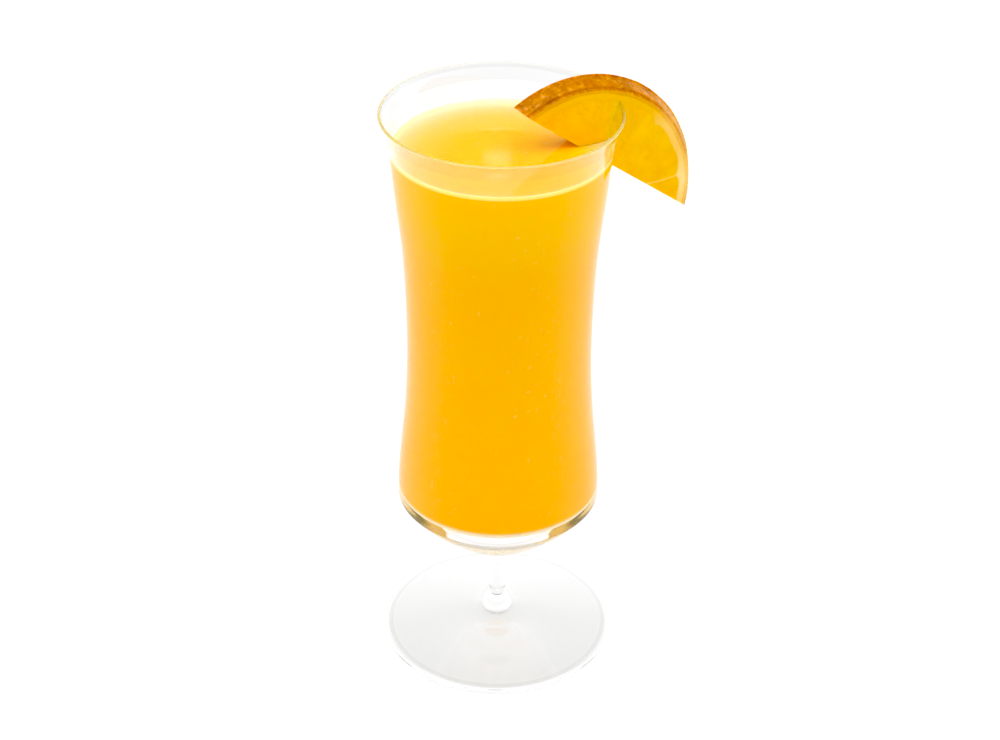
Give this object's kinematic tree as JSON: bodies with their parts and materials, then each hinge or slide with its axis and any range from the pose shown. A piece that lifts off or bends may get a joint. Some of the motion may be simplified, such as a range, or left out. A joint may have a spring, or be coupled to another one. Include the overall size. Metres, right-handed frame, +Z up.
{
  "type": "glass of orange juice",
  "caption": "Tall waisted stemmed glass filled with orange juice, with a slice of orange slotted on the rim; stands on its round foot.",
  "frame": {"origin": "centre of the foot's flat underside, on the axis of the glass", "axes": "+Z up along the axis of the glass; +X towards the side of the rim that carries the orange slice; the picture looks along +Y"},
  "size_m": [0.0975, 0.0772, 0.2028],
  "materials": {
    "clear_glass": "clear, fire polished",
    "orange_juice": "cloudy liquid, smooth surface",
    "orange_fruit": "moist cut flesh, dimpled rind"
  },
  "bodies": {
    "root": {"glass": "clear_glass", "juice": "orange_juice", "orange_slice": "orange_fruit"}
  },
  "joints": []
}
